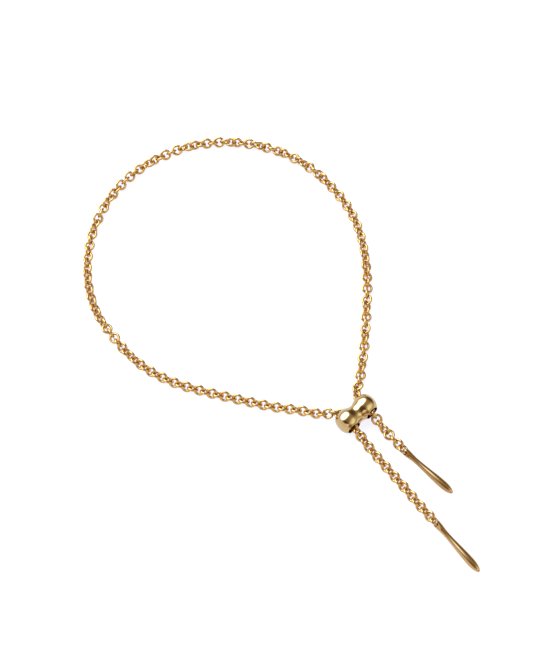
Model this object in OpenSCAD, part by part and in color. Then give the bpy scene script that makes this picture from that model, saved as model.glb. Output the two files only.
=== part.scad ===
// Fine chain bracelet with a two-hole slider and two long drop ends, lying on a flat surface.
// Millimetres, +Z up. The origin is on that surface, under the middle of the whole bracelet.
// The chain is followed from the eye of the long tail's drop, through the slider,
// round the loop and through the slider again, to the eye of the short tail's drop.

/* [Chain] */
// Number of links in the whole chain
link_count = 178; // [178:1:178]
// Outer diameter of one round link
link_d = 2.12; // [2.1:0.01:2.14]
// Thickness of the wire that a link is bent from
wire_d = 0.34; // [0.32:0.01:0.35]
// How far a link may sag below its neighbour where the chain is twisted
link_sag = 0.12; // [0.08:0.01:0.14]

/* [Slider] */
// Length of the slider over both lobes
slider_len = 9; // [8.9:0.05:9.2]
// Thickness of the slider at its lobes
lobe_d = 4.85; // [4.75:0.05:4.95]
// Thickness of the slider at its waist
waist_d = 3.7; // [3.5:0.05:3.8]
// Distance from the slider's middle to the thickest place of a lobe
crest_at = 1.95; // [1.9:0.05:2.05]
// How blunt the slider's ends are: 2 is round, more is blunter
blunt = 2.4; // [2.2:0.1:2.6]
// Diameter of the two holes that the chain runs through
bore_d = 2.8; // [2.75:0.05:2.85]
// Distance between the centre lines of the two holes
bore_gap = 4.7; // [4.65:0.05:4.75]
// How far the holes rise towards the loose ends, in degrees
bore_tilt = 7; // [6:0.5:8]

/* [Drop ends] */
// Length of a drop from its eye to its round tip
drop_len = 12.7; // [12.4:0.1:13]
// Diameter at the thickest place of a drop
bulb_d = 1.66; // [1.5:0.02:1.7]
// Diameter at the slimmest place of a drop
neck_d = 1.1; // [1:0.05:1.25]
// Distance from the eye's hole to the slimmest place
neck_at = 2.6; // [2.2:0.1:3]
// Distance from the eye's hole to the thickest place
bulb_at = 9.4; // [9:0.1:9.8]
// Width of the eye of a drop
eye_w = 1.44; // [1.4:0.02:1.5]
// Thickness of the eye between its two filed faces
eye_t = 0.9; // [0.84:0.02:0.92]
// Diameter of the hole in the eye
eye_hole_d = 0.9; // [0.88:0.01:0.92]
// Way that the drop on the long tail points, in degrees from +X
long_drop_turn = -91.6; // [-94:0.1:-88]
// Way that the drop on the short tail points, in degrees from +X
short_drop_turn = -84.6; // [-88:0.1:-82]

/* [Hidden] */

wire_r = wire_d / 2;
ring_r = (link_d - wire_d) / 2;
bore_r = bore_d / 2;
eye_r = eye_w / 2;
lobe_r = lobe_d / 2;
waist_r = waist_d / 2;
neck_r = neck_d / 2;
bulb_r = bulb_d / 2;
last_link = link_count - 1;

// Links that lean 45 degrees, each the other way from the one before, lie with their middles this high.
lie = wire_r + ring_r * sin(45);
// The middle of the slider
slider_at = [-2.3, -16.4];
// How far the chain's middle hangs below the middle of a hole
hang = 0.05;
// Height of the chain's middle inside the slider's holes, at this y
function bore_z(y) = lobe_r - hang + (slider_at.y - y) * tan(bore_tilt);
// X of the chain in each hole
long_x = slider_at.x - bore_gap / 2;
short_x = slider_at.x + bore_gap / 2;

// Route of the chain's middle line: x, y and height.
route = [
    [-5.2, -41.85, lie], [-5.2, -38.1, lie], [-5, -33.7, lie], [-4.9, -29.7, lie],
    [-4.8, -25.5, lie], [-4.65, -22.6, 0.9], [-4.6, -20.8, 1.5], [-4.6, -19.2, 2.35],
    [long_x, -17.5, bore_z(-17.5)], [long_x, -15.5, bore_z(-15.5)], [-4.75, -14.3, 2.15],
    [-5.4, -13.2, 1.9], [-6.5, -12.4, 1.45], [-7.5, -11.3, 1.1],
    [-9.6, -8.5, lie], [-12.8, -4.8, lie], [-17.4, 1.4, lie], [-21.4, 7.1, lie],
    [-24.65, 12.4, lie], [-26.65, 17.4, lie], [-27.55, 22.4, lie], [-27.55, 26.9, lie],
    [-26.8, 33.7, lie], [-24.8, 38.7, lie], [-21.4, 43.6, lie], [-16.45, 48.2, lie],
    [-10.4, 51.5, lie], [-4.2, 53.15, lie], [2.35, 53.2, lie], [8.75, 51.75, lie],
    [14.9, 48.75, lie], [20.3, 44.1, lie], [24.6, 38.05, lie], [27.1, 31, lie],
    [27.65, 24.6, lie], [26.7, 16.9, lie], [23.35, 9.6, lie], [19.35, 4.15, lie],
    [13.8, -1.7, lie], [9.35, -6.05, lie], [5.6, -9.4, lie], [3.4, -11.2, 0.95],
    [1.95, -12.25, 1.35], [0.8, -13.05, 1.75], [0.15, -14.2, 2.1],
    [short_x, -15.7, bore_z(-15.7)], [short_x, -17.5, bore_z(-17.5)], [0, -19.1, 2.4],
    [0, -20.6, 1.6], [0, -22.1, 0.95], [0, -24.15, lie], [0.1, -27.5, lie]
];

// Turn of the chain about its own line, beyond the quarter turn from link to link:
// the number of a link and its extra turn in degrees, even in between.
twist = [
    [0, -45], [18, -45], [26, 45], [54, 45], [56, 58], [58, 40], [64, -38], [71, -42],
    [78, -84], [80, -67], [86, 35], [94, 93], [104, 214], [107, 238], [114, 380],
    [126, 665], [130, 680], [140, 675], [144, 654], [147, 638], [165, 314], [171, 255],
    [176, 134], [177, 125]
];

// Where links lie a little closer or wider: the number of a link and how far it is
// along the chain from its evenly spaced place, even in between.
shift = [
    [0, 0], [3, -0.1], [18, -0.15], [26, -0.5], [34, -0.3], [56, 0.1], [86, 0.2], [107, 0.3],
    [118, 0.1], [126, 0], [142, 0.5], [157, 0.1], [163, -0.1], [168, -0.3], [172, -0.22], [177, -0.1]
];

// How far the middle of an eye's hole lies inside the middle of the wire that runs through it
eye_in = 0.11;
// Number of steps that the route is drawn in between two of its points
steps = 12;
// How far away a neighbour still holds a link up
reach = 4;

function unit(v) = v / norm(v);

// Direction of a smooth curve at point b, between a and c, nearer to the closer one's.
function bend(a, b, c) =
    let (in = norm(b - a), out = norm(c - b))
    ((b - a) / in * out + (c - b) / out * in) / (in + out);

// The point a part u of the way from b to c.
function blend(a, b, c, d, u) =
    let (len = norm(c - b), from = len * bend(a, b, c), to = len * bend(b, c, d))
    (2 * u ^ 3 - 3 * u ^ 2 + 1) * b + (u ^ 3 - 2 * u ^ 2 + u) * from
    + (3 * u ^ 2 - 2 * u ^ 3) * c + (u ^ 3 - u ^ 2) * to;

// A smooth line through the points p, with n steps between two of them.
function smooth(p, n) =
    let (
        ends = concat([2 * p[0] - p[1]], p, [2 * p[len(p) - 1] - p[len(p) - 2]]),
        last = len(p) - 2
    )
    concat(
        [for (i = [0:last], k = [0:n - 1]) blend(ends[i], ends[i + 1], ends[i + 2], ends[i + 3], k / n)],
        [p[len(p) - 1]]
    );

// Distance from the start of a line to each of its points.
function distances(p) =
    [for (i = 0, s = 0; i < len(p); i = i + 1, s = i < len(p) ? s + norm(p[i] - p[i - 1]) : s) s];

line = smooth(route, steps);
along = distances(line);
line_x = [for (i = [0:len(line) - 1]) [along[i], line[i].x]];
line_y = [for (i = [0:len(line) - 1]) [along[i], line[i].y]];
line_z = [for (i = [0:len(line) - 1]) [along[i], line[i].z]];
pitch = along[len(along) - 1] / last_link;

function on_route(s) = [lookup(s, line_x), lookup(s, line_y), lookup(s, line_z)];
function lean(k) = 90 * k + lookup(k, twist);
// Height at which link k alone would stand on the surface.
function stand(k) = wire_r + ring_r * abs(sin(lean(k)));
// Height to which the links around hold link k up.
function held(k) = max([
    for (j = [max(k - reach, 0):min(k + reach, last_link)]) stand(j) - link_sag * abs(j - k)
]);

link_at = [for (k = [0:last_link]) let (p = on_route(k * pitch + lookup(k, shift))) [p.x, p.y, max(p.z, held(k))]];

// Axes of link k: along the chain, across the link and square to the link.
function heading(k) = unit(link_at[min(k + 1, last_link)] - link_at[max(k - 1, 0)]);
function normal(k) =
    let (t = heading(k), side = unit([-t.y, t.x, 0]))
    cos(lean(k)) * cross(t, side) + sin(lean(k)) * side;
function across(k) = cross(normal(k), heading(k));

// Places its children at p, with their X, Y and Z axes along x, y and z.
module place(p, x, y, z) {
    multmatrix([
        [x.x, y.x, z.x, p.x],
        [x.y, y.y, z.y, p.y],
        [x.z, y.z, z.z, p.z],
        [0, 0, 0, 1]
    ])
    children();
}

// One round link in the XY plane.
module link() {
    rotate_extrude($fn = 24)
    translate([ring_r, 0])
    circle(wire_r, $fn = 14);
}

module chain() {
    color("goldenrod")
    for (k = [0:last_link])
        place(link_at[k], heading(k), across(k), normal(k))
        link();
}

// A value that goes smoothly from a to b as u goes from 0 to 1.
function ease(a, b, u) = a + (b - a) * (1 - cos(180 * u)) / 2;

// Half of the slider's outline, with its long axis along Y: two blunt lobes and a hollow waist.
module slider_outline() {
    waist_steps = 14;
    lobe_steps = 20;
    lobe_len = slider_len / 2 - crest_at;
    waist = [for (i = [0:waist_steps - 1]) let (u = i / waist_steps) [ease(waist_r, lobe_r, u), crest_at * u]];
    lobe = [
        for (i = [0:lobe_steps]) let (a = 90 * i / lobe_steps)
        [lobe_r * cos(a) ^ (2 / blunt), crest_at + lobe_len * sin(a) ^ (2 / blunt)]
    ];
    half = concat(waist, lobe);
    polygon(concat([for (i = [len(half) - 1:-1:1]) [half[i].x, -half[i].y]], half));
}

module slider() {
    color("darkgoldenrod")
    translate([slider_at.x, slider_at.y, lobe_r])
    difference() {
        rotate([0, 90, 0])
        rotate_extrude($fn = 96)
        slider_outline();
        for (s = [-1, 1])
            translate([s * bore_gap / 2, 0, 0])
            rotate([90 - bore_tilt, 0, 0])
            cylinder(r = bore_r, h = 2 * lobe_d, center = true, $fn = 64);
    }
}

// Radius of a drop between its eye and its thickest place.
function drop_r(x) =
    x < neck_at ? ease(eye_r, neck_r, x / neck_at)
    : ease(neck_r, bulb_r, (x - neck_at) / (bulb_at - neck_at));

// A drop along +X, with the eye's hole through the origin along Z.
module drop() {
    tip = drop_len - eye_r - bulb_at;
    body_steps = 24;
    tip_steps = 8;
    // Radius that the two faces of the eye are filed to
    file_r = 5;
    side = [for (i = [0:body_steps]) let (x = bulb_at * i / body_steps) [drop_r(x), x]];
    end = [for (i = [1:tip_steps]) let (a = 90 * i / tip_steps) [bulb_r * cos(a), bulb_at + tip * sin(a)]];
    difference() {
        union() {
            sphere(eye_r, $fn = 48);
            rotate([0, 90, 0])
            rotate_extrude($fn = 48)
            polygon(concat([[0, 0]], side, end));
        }
        for (s = [-1, 1])
            translate([0, 0, s * (eye_t / 2 + file_r)])
            rotate([90, 0, 0])
            cylinder(r = file_r, h = 2 * eye_w, center = true, $fn = 360);
        cylinder(r = eye_hole_d / 2, h = 2 * eye_w, center = true, $fn = 48);
    }
}

// A drop whose eye is on link k, pointing the way of turn; out is 1 or -1 along the chain.
module drop_on(k, out, turn) {
    way = [cos(turn), sin(turn), 0];
    eye = link_at[k] + out * (ring_r - eye_in) * heading(k);
    hole = across(k);
    flat = unit(hole - (hole * way) * way);
    place([eye.x, eye.y, bulb_r], way, cross(flat, way), flat)
    drop();
}

module long_tail_drop() {
    color("gold")
    drop_on(0, -1, long_drop_turn);
}

module short_tail_drop() {
    color("gold")
    drop_on(last_link, 1, short_drop_turn);
}

chain();
slider();
long_tail_drop();
short_tail_drop();
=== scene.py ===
import math

import bmesh
import bpy
import numpy as np
from bpy.props import FloatProperty, FloatVectorProperty, IntProperty, PointerProperty
from bpy.types import Operator, Panel, PropertyGroup
from mathutils import Matrix, Vector


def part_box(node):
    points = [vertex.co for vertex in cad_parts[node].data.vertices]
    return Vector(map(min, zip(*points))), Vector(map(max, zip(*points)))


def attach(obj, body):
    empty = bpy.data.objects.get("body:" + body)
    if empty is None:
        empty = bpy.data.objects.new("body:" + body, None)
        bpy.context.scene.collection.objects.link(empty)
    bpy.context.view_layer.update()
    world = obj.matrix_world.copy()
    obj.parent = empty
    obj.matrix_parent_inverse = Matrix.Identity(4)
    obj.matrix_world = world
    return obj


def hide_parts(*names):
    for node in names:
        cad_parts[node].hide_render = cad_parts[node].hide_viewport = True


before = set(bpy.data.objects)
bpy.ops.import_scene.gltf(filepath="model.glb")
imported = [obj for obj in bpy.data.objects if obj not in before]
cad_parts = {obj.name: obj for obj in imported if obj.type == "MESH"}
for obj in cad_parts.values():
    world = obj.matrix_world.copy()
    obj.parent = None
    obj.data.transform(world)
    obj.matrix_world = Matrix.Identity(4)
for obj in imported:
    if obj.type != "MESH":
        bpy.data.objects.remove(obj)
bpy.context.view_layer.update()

bl_info = {
    "name": "Slider Chain Bracelet",
    "version": (1, 0, 0),
    "blender": (4, 5, 0),
    "location": "View3D > Sidebar > Bracelet",
    "description": "Builds a fine gold chain bracelet with a two-hole slider and two drops, "
    "lying in a small photo studio",
    "category": "Object",
}

LINKS = 178
SLIDER_LOW, SLIDER_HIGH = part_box("slider")

# How finely the shapes are drawn: sides round a piece and points along its outline
SLIDER_SIDES = 72
SLIDER_HOLE_SIDES = 48
WAIST_POINTS = 15
LOBE_POINTS = 25
DROP_SIDES = 40
EYE_HOLE_SIDES = 32
EYE_POINTS = 12
NECK_POINTS = 14
BULB_POINTS = 30
TIP_POINTS = 16
FILE_SIDES = 720
RIM_SEGMENTS = 3
TABLE_SIDES = 96

# Points of a mesh that are nearer than this are one point
SAME_PLACE = 1e-7
# After a cut, points nearer than this share of the rim's rounding are merged
WELD_SHARE = 0.25
# An edge that turns by more than this is one that a cut has left
SHARP = math.radians(32)

# Radius of the round file that thins an eye, and the rounding that it leaves at the rims
FILE_RADIUS = 0.005
EYE_RIM = 0.00005
# How far along a drop the CAD's points are taken as part of its bulb and of its eye
BULB_WINDOW = 0.0003
EYE_WINDOW = 0.0002
# Directions that are tried, over half a turn, to find the thin way of an eye
THIN_WAY_TRIES = 181

TABLE_RADIUS = 1.6
CAMERA_NEAR = 0.01

# Light of the dome low down and high up, and the heights, as sines of the angle above the
# table, between which the one turns into the other
DOME_LOW = (0.83, 0.78, 0.64, 1)
DOME_HIGH = (0.53, 0.44, 0.29, 1)
DOME_CHANGE = (0.42, 0.58)
# How deep an oval reaches through the dome, whose radius is 1
OVAL_DEPTH = 1.9
# Ovals on the dome, each laid over those before it: compass turn and height angle of the
# middle, half width and half height, all in degrees, then width of the soft edge and light
DOME_OVALS = (
    # Wide low light at the front left
    (-88, 13, 85, 26, 0.12, (1.12, 1.12, 1.4, 1)),
    # Large light at the front right
    (179, 47, 85, 33, 0.7, (1.94, 2.25, 2.56, 1)),
    # Dim ceiling above the camera
    (-136, 68, 78, 36, 0.97, (0.32, 0.24, 0.16, 1)),
    # Dark card at the back right
    (77, 1, 51, 62, 0.55, (0.13, 0.1, 0.08, 1)),
    # Dark strip high at the front left
    (-112, 54, 46, 14, 0.5, (0.13, 0.1, 0.08, 1)),
    # Bright cool light at the back left
    (-5, 46, 47, 37, 0.4, (4.1, 5.5, 8.2, 1)),
    # Brown card low at the front right
    (-163, 14, 26, 60, 0.86, (0.43, 0.21, 0.06, 1)),
)


def linear(code):
    """Linear colour with full alpha from an sRGB hex code."""
    parts = [int(code[i : i + 2], 16) / 255 for i in (1, 3, 5)]
    return (*(c / 12.92 if c <= 0.04045 else ((c + 0.055) / 1.055) ** 2.4 for c in parts), 1)


# Sizes and colours that a user would change

def metres(name, description, default):
    """A property for a size."""
    return FloatProperty(
        name=name,
        description=description,
        default=default,
        min=0,
        precision=5,
        unit="LENGTH",
        subtype="DISTANCE",
    )


def angle(name, description, degrees):
    """A property for an angle, with its default in degrees."""
    return FloatProperty(
        name=name, description=description, default=math.radians(degrees), subtype="ANGLE"
    )


def colour(name, description, code):
    """A property for a colour, with its default as an sRGB hex code."""
    return FloatVectorProperty(
        name=name,
        description=description,
        default=linear(code),
        size=4,
        min=0,
        max=1,
        subtype="COLOR",
    )


class ChainSettings(PropertyGroup):
    ring_length: metres("Link length", "Outer length of one link along the chain", 0.0024)
    ring_width: metres("Link width", "Outer width of one link across the chain", 0.00234)
    wire: metres("Wire", "Thickness of the wire that the links are bent from", 0.00054)
    lift: metres("Lift", "How much higher the links lie than the thinner solid ones", 0.00011)
    ring_sides: IntProperty(
        name="Link sides", description="Sides round one link", default=16, min=10, max=16
    )
    wire_sides: IntProperty(
        name="Wire sides", description="Sides round the wire", default=6, min=5, max=6
    )
    gold: colour("Gold", "Colour of the plated links", "#CEA661")
    warm: colour("Warm gold", "Redder gold in places where the plating is thicker", "#C58E40")


class SliderSettings(PropertyGroup):
    length: metres("Length", "Length over both lobes", SLIDER_HIGH.x - SLIDER_LOW.x)
    lobe: metres("Lobe", "Thickness at the lobes", SLIDER_HIGH.z - SLIDER_LOW.z)
    waist: metres("Waist", "Thickness at the waist", 0.0037)
    crest: metres("Crest at", "From the middle to the thickest place of a lobe", 0.00195)
    blunt: FloatProperty(
        name="Bluntness",
        description="Shape of the ends: 2 is round, more is blunter",
        default=2.4,
        min=2,
        max=4,
    )
    hole: metres("Hole", "Diameter of the two holes", 0.0028)
    spacing: metres("Spacing", "Distance between the centre lines of the holes", 0.0047)
    tilt: angle("Tilt", "How far the holes rise towards the loose ends", 7)
    rim: metres("Rim", "Rounding where a hole meets the outside", 0.00012)
    gold: colour("Gold", "Colour of the polished slider", "#C2A26B")


class DropSettings(PropertyGroup):
    length: metres("Length", "Length from the eye to the round tip", 0.0127)
    bulb: metres("Bulb", "Diameter at the thickest place", 0.00166)
    neck: metres("Neck", "Diameter at the slimmest place", 0.0011)
    neck_at: metres("Neck at", "From the eye's hole to the slimmest place", 0.0026)
    bulb_at: metres("Bulb at", "From the eye's hole to the thickest place", 0.0094)
    eye: metres("Eye", "Width of the eye", 0.00144)
    eye_thick: metres("Eye thickness", "Thickness of the eye between its filed faces", 0.0009)
    hole: metres("Eye hole", "Diameter of the hole in the eye", 0.0009)
    gold: colour("Gold", "Colour of the polished drops", "#BE9A64")


class StudioSettings(PropertyGroup):
    look_at: FloatVectorProperty(
        name="Look at",
        description="Point on the table at the picture's centre",
        default=(-0.0037, 0.0086, 0),
        size=3,
        unit="LENGTH",
        subtype="XYZ",
    )
    distance: metres("Camera distance", "From the camera to that point", 0.329)
    height_angle: angle("Camera height", "Angle of the camera above the table", 67.7)
    turn: angle("Camera turn", "Way the camera looks, clockwise from +Y seen from above", 41)
    lens: FloatProperty(
        name="Lens",
        description="Focal length on a 36 mm sensor",
        default=88.92,
        min=1,
        subtype="DISTANCE_CAMERA",
    )
    table: colour("Table", "Colour of the white table top", "#959398")
    below: colour("Light from below", "Light that comes up through the table top", "#F4F6FF")


# Materials

def add_node(tree, kind, values=None, links=None, **settings):
    """A new node with its settings, its inputs' values and the outputs that feed its inputs."""
    made = tree.nodes.new(kind)
    for name, value in settings.items():
        setattr(made, name, value)
    for key, value in (values or {}).items():
        made.inputs[key].default_value = value
    for key, (source, output) in (links or {}).items():
        tree.links.new(source.outputs[output], made.inputs[key])
    return made


def new_material(name, base):
    """A material whose tree holds a Principled surface with its output, and the surface's node."""
    material = bpy.data.materials.new(name)
    material.use_nodes = True
    material.diffuse_color = base
    material.node_tree.nodes.clear()
    surface = add_node(material.node_tree, "ShaderNodeBsdfPrincipled")
    add_node(
        material.node_tree, "ShaderNodeOutputMaterial", links={"Surface": (surface, "BSDF")}
    )
    return material, material.node_tree, surface


def toned(base, red, green, blue):
    """A colour whose red, green and blue are each multiplied by a number."""
    return (base[0] * red, base[1] * green, base[2] * blue, 1)


def two_tones(tree, surface, place, first, second, patch, detail):
    """Colours a surface in two tones that take turns in soft patches of a size in metres."""
    patches = add_node(
        tree,
        "ShaderNodeTexNoise",
        {"Scale": 1 / patch, "Detail": detail},
        {"Vector": (place, "Object")},
    )
    tone = add_node(
        tree,
        "ShaderNodeMix",
        {"A": first, "B": second},
        {"Factor": (patches, "Fac")},
        data_type="RGBA",
    )
    tree.links.new(tone.outputs["Result"], surface.inputs["Base Color"])


def tumbled_gold(chain):
    """Gold plated silver wire, bent, soldered and tumbled: bright but not quite a mirror,
    with soft dents a third of the wire's width apart and a redder tone that comes and goes."""
    material, tree, surface = new_material("tumbled_gold_wire", chain.gold)
    surface.inputs["Metallic"].default_value = 1
    place = add_node(tree, "ShaderNodeTexCoord")
    two_tones(tree, surface, place, chain.gold, chain.warm, patch=0.0015, detail=2)
    # Dents 0.2 mm apart and up to 0.01 mm deep
    apart, deep = 0.0002, 0.00001
    dents = add_node(
        tree, "ShaderNodeTexNoise", {"Scale": 1 / apart, "Detail": 2}, {"Vector": (place, "Object")}
    )
    rough = add_node(
        tree, "ShaderNodeMapRange", {"To Min": 0.1, "To Max": 0.22}, {"Value": (dents, "Fac")}
    )
    tree.links.new(rough.outputs["Result"], surface.inputs["Roughness"])
    bump = add_node(
        tree, "ShaderNodeBump", {"Strength": 0.25, "Distance": deep}, {"Height": (dents, "Fac")}
    )
    tree.links.new(bump.outputs["Normal"], surface.inputs["Normal"])
    return material


def mirror_gold(slider):
    """Gold plate polished on a wheel: a mirror whose reflections waver a little,
    with hairlines round the long axis that only show at the edge of a highlight."""
    material, tree, surface = new_material("mirror_polished_gold", slider.gold)
    surface.inputs["Metallic"].default_value = 1
    place = add_node(tree, "ShaderNodeTexCoord")
    darker = toned(slider.gold, 0.93, 0.93, 0.93)
    two_tones(tree, surface, place, slider.gold, darker, patch=0.003, detail=1)
    # Hairlines 0.05 mm wide and 2 mm long, round the long axis; real ones are finer
    wide, long = 0.00005, 0.002
    stretch = add_node(
        tree,
        "ShaderNodeMapping",
        {"Scale": (1 / wide, 1 / long, 1 / long)},
        {"Vector": (place, "Object")},
    )
    hairlines = add_node(
        tree, "ShaderNodeTexNoise", {"Scale": 1, "Detail": 2}, {"Vector": (stretch, "Vector")}
    )
    rough = add_node(
        tree, "ShaderNodeMapRange", {"To Min": 0.03, "To Max": 0.09}, {"Value": (hairlines, "Fac")}
    )
    tree.links.new(rough.outputs["Result"], surface.inputs["Roughness"])
    # The wheel leaves waves 1.2 mm apart and up to 0.02 mm deep
    apart, deep = 0.0012, 0.00002
    waves = add_node(
        tree, "ShaderNodeTexNoise", {"Scale": 1 / apart, "Detail": 1}, {"Vector": (place, "Object")}
    )
    bump = add_node(
        tree, "ShaderNodeBump", {"Strength": 0.5, "Distance": deep}, {"Height": (waves, "Fac")}
    )
    tree.links.new(bump.outputs["Normal"], surface.inputs["Normal"])
    return material


def turned_gold(drop):
    """Gold plated drops, turned and polished on a lathe: rings too fine to see one by one
    draw each light out into a streak along the drop."""
    material, tree, surface = new_material("lathe_polished_gold", drop.gold)
    surface.inputs["Metallic"].default_value = 1
    surface.inputs["Anisotropic"].default_value = 0.8
    # Both drops lie along Y. The surface's own tangent input takes no value without a link.
    along = add_node(tree, "ShaderNodeCombineXYZ", {"Y": 1})
    tree.links.new(along.outputs["Vector"], surface.inputs["Tangent"])
    place = add_node(tree, "ShaderNodeTexCoord")
    warmer = toned(drop.gold, 0.97, 0.9, 0.78)
    two_tones(tree, surface, place, drop.gold, warmer, patch=0.002, detail=1)
    # Rings 0.05 mm wide across Y and up to 0.005 mm deep; real ones are finer
    wide, long, deep = 0.00005, 0.002, 0.000005
    stretch = add_node(
        tree,
        "ShaderNodeMapping",
        {"Scale": (1 / long, 1 / wide, 1 / long)},
        {"Vector": (place, "Object")},
    )
    rings = add_node(
        tree, "ShaderNodeTexNoise", {"Scale": 1, "Detail": 2}, {"Vector": (stretch, "Vector")}
    )
    rough = add_node(
        tree, "ShaderNodeMapRange", {"To Min": 0.05, "To Max": 0.1}, {"Value": (rings, "Fac")}
    )
    tree.links.new(rough.outputs["Result"], surface.inputs["Roughness"])
    bump = add_node(
        tree, "ShaderNodeBump", {"Strength": 0.4, "Distance": deep}, {"Height": (rings, "Fac")}
    )
    tree.links.new(bump.outputs["Normal"], surface.inputs["Normal"])
    return material


def table_top(studio):
    """A white acrylic sheet with a matt top, lit from below as a light table is,
    which takes most of the shadows away; a faint mottle."""
    material, tree, surface = new_material("matt_white_acrylic", studio.table)
    surface.inputs["Roughness"].default_value = 0.9
    surface.inputs["Specular IOR Level"].default_value = 0.2
    surface.inputs["Emission Color"].default_value = studio.below
    surface.inputs["Emission Strength"].default_value = 0.86
    place = add_node(tree, "ShaderNodeTexCoord")
    shade = toned(studio.table, 0.99, 0.99, 0.99)
    two_tones(tree, surface, place, studio.table, shade, patch=0.004, detail=3)
    return material


# Shapes

def ease(a, b, u):
    """A value that goes smoothly from a to b as u goes from 0 to 1."""
    return a + (b - a) * (1 - math.cos(math.pi * u)) / 2


def lathe(profile, sides):
    """A bmesh turned about the X axis from points of (x, radius) that start and end on the axis."""
    bm = bmesh.new()
    points = [bm.verts.new((x, 0, radius)) for x, radius in profile]
    edges = [bm.edges.new(pair) for pair in zip(points, points[1:])]
    bmesh.ops.spin(
        bm,
        geom=points + edges,
        cent=(0, 0, 0),
        axis=(1, 0, 0),
        angle=math.tau,
        steps=sides,
        use_merge=True,
    )
    bmesh.ops.remove_doubles(bm, verts=bm.verts, dist=SAME_PLACE)
    bmesh.ops.recalc_face_normals(bm, faces=bm.faces)
    return bm


def rod(radius, depth, sides, turn, place):
    """A cutter: a closed cylinder turned by a matrix and moved to a place."""
    bm = bmesh.new()
    bmesh.ops.create_cone(
        bm,
        cap_ends=True,
        segments=sides,
        radius1=radius,
        radius2=radius,
        depth=depth,
        matrix=Matrix.Translation(place) @ turn,
    )
    return new_piece("cutter", bm)


def new_piece(name, bm, material=None):
    """An object at the origin from a bmesh, with smooth faces."""
    mesh = bpy.data.meshes.new(name)
    bm.to_mesh(mesh)
    bm.free()
    mesh.shade_smooth()
    if material:
        mesh.materials.append(material)
    piece = bpy.data.objects.new(name, mesh)
    bpy.context.scene.collection.objects.link(piece)
    return piece


def carve(piece, cutters, rim):
    """Cuts the cutters out of a piece and rounds each edge that the cuts leave."""
    for cutter in cutters:
        cut = piece.modifiers.new("cut", "BOOLEAN")
        cut.operation, cut.solver, cut.object = "DIFFERENCE", "EXACT", cutter
    bpy.context.view_layer.update()
    carved = bpy.data.meshes.new_from_object(
        piece.evaluated_get(bpy.context.evaluated_depsgraph_get())
    )
    piece.modifiers.clear()
    for cutter in cutters:
        bpy.data.objects.remove(cutter)
    bm = bmesh.new()
    bm.from_mesh(carved)
    bmesh.ops.remove_doubles(bm, verts=bm.verts, dist=rim * WELD_SHARE)
    bmesh.ops.bevel(
        bm,
        geom=[e for e in bm.edges if e.is_manifold and e.calc_face_angle() > SHARP],
        offset=rim,
        offset_type="OFFSET",
        segments=RIM_SEGMENTS,
        profile=0.5,
        affect="EDGES",
        material=-1,
        clamp_overlap=True,
    )
    bmesh.ops.recalc_face_normals(bm, faces=bm.faces)
    bm.to_mesh(piece.data)
    bm.free()
    piece.data.shade_smooth()
    weighted = piece.modifiers.new("even shading", "WEIGHTED_NORMAL")
    weighted.mode, weighted.weight, weighted.keep_sharp = "FACE_AREA", 50, False


def points_of(node):
    """The places of a CAD node's vertices, one row each."""
    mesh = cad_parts[node].data
    places = np.zeros(len(mesh.vertices) * 3, np.float32)
    mesh.vertices.foreach_get("co", places)
    return places.reshape(-1, 3).astype(float)


def links_of_chain():
    """The CAD chain's vertices, in one block of rows for each link."""
    points = points_of("chain")
    if len(points) % LINKS:
        raise RuntimeError("the CAD chain's links are no longer alike")
    return points.reshape(LINKS, -1, 3)


def spread(points):
    """Middle of some points and the directions that they spread in, widest first."""
    middle = (points.min(0) + points.max(0)) / 2
    return middle, np.linalg.svd(points - points.mean(0), full_matrices=False)[2]


def matrix_of(x, y, z, place):
    """The matrix that turns X, Y and Z into three directions and moves the origin to a place."""
    return Matrix([[x[i], y[i], z[i], place[i]] for i in range(3)] + [[0, 0, 0, 1]])


def compass(turn, rise):
    """The direction at an angle clockwise from +Y, seen from above, and at one above the table."""
    level = math.cos(rise)
    return Vector((math.sin(turn) * level, math.cos(turn) * level, math.sin(rise)))


class BRACELET_OT_chain(Operator):
    """Builds the chain: one round link of plated wire for each link of the CAD chain"""

    bl_idname = "bracelet.chain"
    bl_label = "Chain"

    def execute(self, context):
        chain = context.scene.bracelet_chain
        links = links_of_chain()
        middles = (links.min(1) + links.max(1)) / 2
        middles[:, 2] += chain.lift
        pattern = self.link(chain)
        whole = bmesh.new()
        for k, points in enumerate(links):
            along = middles[min(k + 1, LINKS - 1)] - middles[max(k - 1, 0)]
            flat = spread(points)[1][2]
            along -= flat * (along @ flat)
            along /= np.linalg.norm(along)
            before = len(whole.verts)
            whole.from_mesh(pattern)
            whole.verts.ensure_lookup_table()
            bmesh.ops.transform(
                whole,
                matrix=matrix_of(along, np.cross(flat, along), flat, middles[k]),
                verts=whole.verts[before:],
            )
        bpy.data.meshes.remove(pattern)
        piece = new_piece("chain_links", whole, tumbled_gold(chain))
        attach(piece, "root")
        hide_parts("chain")
        return {"FINISHED"}

    def link(self, chain):
        """The mesh of one link, lying flat at the origin with its length along X."""
        length, width = chain.ring_length - chain.wire, chain.ring_width - chain.wire
        ring = bmesh.new()
        section = bmesh.ops.create_circle(
            ring,
            segments=chain.wire_sides,
            radius=chain.wire / 2,
            matrix=Matrix.Translation((width / 2, 0, 0)) @ Matrix.Rotation(math.pi / 2, 4, "X"),
        )
        bmesh.ops.spin(
            ring,
            geom=section["verts"] + list(ring.edges),
            cent=(0, 0, 0),
            axis=(0, 0, 1),
            angle=math.tau,
            steps=chain.ring_sides,
            use_merge=True,
        )
        bmesh.ops.scale(ring, vec=(length / width, 1, 1), verts=ring.verts)
        bmesh.ops.recalc_face_normals(ring, faces=ring.faces)
        mesh = bpy.data.meshes.new("link")
        ring.to_mesh(mesh)
        ring.free()
        return mesh


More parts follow.
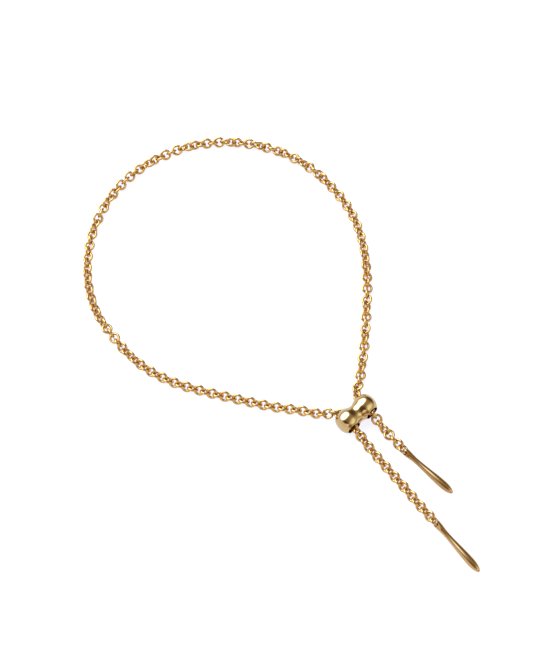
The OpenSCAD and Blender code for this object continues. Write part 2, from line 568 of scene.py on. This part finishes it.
class BRACELET_OT_slider(Operator):
    """Builds the slider: two blunt lobes and a hollow waist, with two holes with rounded rims"""

    bl_idname = "bracelet.slider"
    bl_label = "Slider"

    def execute(self, context):
        slider = context.scene.bracelet_slider
        half = self.outline(slider)
        body = lathe([(-x, radius) for x, radius in half[:0:-1]] + half, SLIDER_SIDES)
        piece = new_piece("slider_body", body, mirror_gold(slider))
        turn = Matrix.Rotation(math.pi / 2 - slider.tilt, 4, "X")
        holes = [
            rod(slider.hole / 2, 2 * slider.lobe, SLIDER_HOLE_SIDES, turn, (x, 0, 0))
            for x in (-slider.spacing / 2, slider.spacing / 2)
        ]
        carve(piece, holes, slider.rim)
        piece.data.transform(Matrix.Translation((SLIDER_LOW + SLIDER_HIGH) / 2))
        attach(piece, "root")
        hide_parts("slider")
        return {"FINISHED"}

    def outline(self, slider):
        """Points of (x, radius) from the middle of the waist, over a lobe, to the slider's end."""
        lobe, waist = slider.lobe / 2, slider.waist / 2
        crest, end = slider.crest, slider.length / 2 - slider.crest
        power = 2 / slider.blunt
        shares = np.linspace(0, 1, WAIST_POINTS)[:-1]
        turns = np.linspace(0, math.pi / 2, LOBE_POINTS)[:-1]
        return [
            *((crest * u, ease(waist, lobe, u)) for u in shares),
            *((crest + end * math.sin(a) ** power, lobe * math.cos(a) ** power) for a in turns),
            (slider.length / 2, 0),
        ]


class BRACELET_OT_drops(Operator):
    """Builds the drop at the end of each tail: a slim pear with a filed eye"""

    bl_idname = "bracelet.drops"
    bl_label = "Drops"

    def execute(self, context):
        drop = context.scene.bracelet_drops
        gold = turned_gold(drop)
        links = links_of_chain()
        # The filed faces are hollow, because the file is round and lies across the eye
        file_at = drop.eye_thick / 2 + FILE_RADIUS
        sideways = Matrix.Rotation(math.pi / 2, 4, "X")
        for node, end_link in (("long_tail_drop", links[0]), ("short_tail_drop", links[-1])):
            piece = new_piece(node + "_body", lathe(self.outline(drop), DROP_SIDES), gold)
            cuts = [
                rod(FILE_RADIUS, 2 * drop.eye, FILE_SIDES, sideways, (0, 0, z))
                for z in (-file_at, file_at)
            ]
            cuts.append(rod(drop.hole / 2, 2 * drop.eye, EYE_HOLE_SIDES, Matrix(), (0, 0, 0)))
            carve(piece, cuts, EYE_RIM)
            piece.data.transform(self.place(node, end_link.mean(0), drop))
            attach(piece, "root")
            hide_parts(node)
        return {"FINISHED"}

    def outline(self, drop):
        """Points of (x, radius) from behind the eye, past the neck and the bulb, to the tip."""
        eye, neck, bulb = drop.eye / 2, drop.neck / 2, drop.bulb / 2
        swell = drop.bulb_at - drop.neck_at
        tip = drop.length - eye - drop.bulb_at
        eye_turns = np.linspace(0, math.pi / 2, EYE_POINTS)[:-1]
        neck_shares = np.linspace(0, 1, NECK_POINTS)[:-1]
        bulb_shares = np.linspace(0, 1, BULB_POINTS)[:-1]
        tip_turns = np.linspace(0, math.pi / 2, TIP_POINTS)[:-1]
        return [
            *((-eye * math.cos(a), eye * math.sin(a)) for a in eye_turns),
            *((drop.neck_at * u, ease(eye, neck, u)) for u in neck_shares),
            *((drop.neck_at + swell * u, ease(neck, bulb, u)) for u in bulb_shares),
            *((drop.bulb_at + tip * math.sin(a), bulb * math.cos(a)) for a in tip_turns),
            (drop.bulb_at + tip, 0),
        ]

    def place(self, node, end_link, drop):
        """Where a drop lies: its tip is the CAD drop's, and its hole runs the thin way of the
        CAD eye."""
        points = points_of(node)
        middle, ways = spread(points)
        way = ways[0] if ways[0] @ (middle - end_link) > 0 else -ways[0]
        reach = points @ way
        eye_reach = reach.max() - drop.length + drop.eye / 2
        bulb = points[np.abs(reach - eye_reach - drop.bulb_at) < BULB_WINDOW]
        middle = (bulb.min(0) + bulb.max(0)) / 2
        eye = middle + way * (eye_reach - middle @ way)
        # Across the drop, the way in which the eye is thinnest
        turns = np.linspace(0, math.pi, THIN_WAY_TRIES)[:, None]
        across = np.cos(turns) * ways[1] + np.sin(turns) * ways[2]
        around = points[np.abs(reach - eye_reach) < EYE_WINDOW]
        thin = across[np.ptp(around @ across.T, axis=0).argmin()]
        return matrix_of(way, np.cross(thin, way), thin, eye)


class BRACELET_OT_stage(Operator):
    """Sets the studio: a light table, the camera and a dome with soft lights and dark cards"""

    bl_idname = "bracelet.stage"
    bl_label = "Studio"

    def execute(self, context):
        scene = context.scene
        studio = scene.bracelet_studio
        bm = bmesh.new()
        bmesh.ops.create_circle(bm, cap_ends=True, segments=TABLE_SIDES, radius=TABLE_RADIUS)
        table = new_piece("table", bm, table_top(studio))

        toward = compass(studio.turn, -studio.height_angle)
        camera = bpy.data.objects.new("camera", bpy.data.cameras.new("camera"))
        camera.data.lens = studio.lens
        camera.data.clip_start = CAMERA_NEAR
        camera.location = Vector(studio.look_at) - toward * studio.distance
        camera.rotation_euler = toward.to_track_quat("-Z", "Y").to_euler()
        scene.collection.objects.link(camera)
        scene.camera = camera

        scene.world = self.dome()
        scene.view_settings.view_transform = "Standard"
        return {"FINISHED"}

    def dome(self):
        """A world whose light comes from all round, with ovals of more and of less light."""
        world = bpy.data.worlds.new("studio")
        world.use_nodes = True
        tree = world.node_tree
        ray = add_node(tree, "ShaderNodeTexCoord")
        height = add_node(tree, "ShaderNodeSeparateXYZ", links={"Vector": (ray, "Generated")})
        upper = add_node(
            tree,
            "ShaderNodeMapRange",
            {"From Min": DOME_CHANGE[0], "From Max": DOME_CHANGE[1]},
            {"Value": (height, "Z")},
            interpolation_type="SMOOTHSTEP",
        )
        dome = add_node(
            tree,
            "ShaderNodeMix",
            {"A": DOME_LOW, "B": DOME_HIGH},
            {"Factor": (upper, "Result")},
            data_type="RGBA",
        )
        for turn, rise, wide, high, edge, light in DOME_OVALS:
            away = compass(math.radians(turn), math.radians(rise))
            sizes = (math.sin(math.radians(wide)), math.sin(math.radians(high)), OVAL_DEPTH)
            place = add_node(
                tree,
                "ShaderNodeMapping",
                {
                    "Location": away,
                    "Rotation": away.to_track_quat("Z", "Y").to_euler(),
                    "Scale": sizes,
                },
                {"Vector": (ray, "Generated")},
                vector_type="TEXTURE",
            )
            oval = add_node(
                tree,
                "ShaderNodeTexGradient",
                links={"Vector": (place, "Vector")},
                gradient_type="SPHERICAL",
            )
            soft = add_node(
                tree,
                "ShaderNodeMapRange",
                {"From Max": edge},
                {"Value": (oval, "Fac")},
                interpolation_type="SMOOTHSTEP",
            )
            dome = add_node(
                tree,
                "ShaderNodeMix",
                {"B": light},
                {"Factor": (soft, "Result"), "A": (dome, "Result")},
                data_type="RGBA",
            )
        tree.links.new(dome.outputs["Result"], tree.nodes["Background"].inputs["Color"])
        return world


class VIEW3D_PT_bracelet(Panel):
    """Lists the bracelet's pieces with their sizes and colours"""

    bl_label = "Bracelet"
    bl_space_type = "VIEW_3D"
    bl_region_type = "UI"
    bl_category = "Bracelet"

    def draw(self, context):
        for operator, settings in STEPS:
            box = self.layout.box()
            box.operator(operator.bl_idname)
            group = getattr(context.scene, settings)
            for key in group.__annotations__:
                box.prop(group, key)


STEPS = (
    (BRACELET_OT_stage, "bracelet_studio"),
    (BRACELET_OT_chain, "bracelet_chain"),
    (BRACELET_OT_slider, "bracelet_slider"),
    (BRACELET_OT_drops, "bracelet_drops"),
)
SETTINGS = {
    "bracelet_chain": ChainSettings,
    "bracelet_slider": SliderSettings,
    "bracelet_drops": DropSettings,
    "bracelet_studio": StudioSettings,
}
CLASSES = (*SETTINGS.values(), *(operator for operator, _ in STEPS), VIEW3D_PT_bracelet)


def register():
    for cls in CLASSES:
        bpy.utils.register_class(cls)
    for name, group in SETTINGS.items():
        setattr(bpy.types.Scene, name, PointerProperty(type=group))


def unregister():
    for name in SETTINGS:
        delattr(bpy.types.Scene, name)
    for cls in reversed(CLASSES):
        bpy.utils.unregister_class(cls)


def main():
    register()
    bpy.ops.bracelet.stage()
    bpy.ops.bracelet.chain()
    bpy.ops.bracelet.slider()
    bpy.ops.bracelet.drops()


if __name__ == "__main__":
    main()
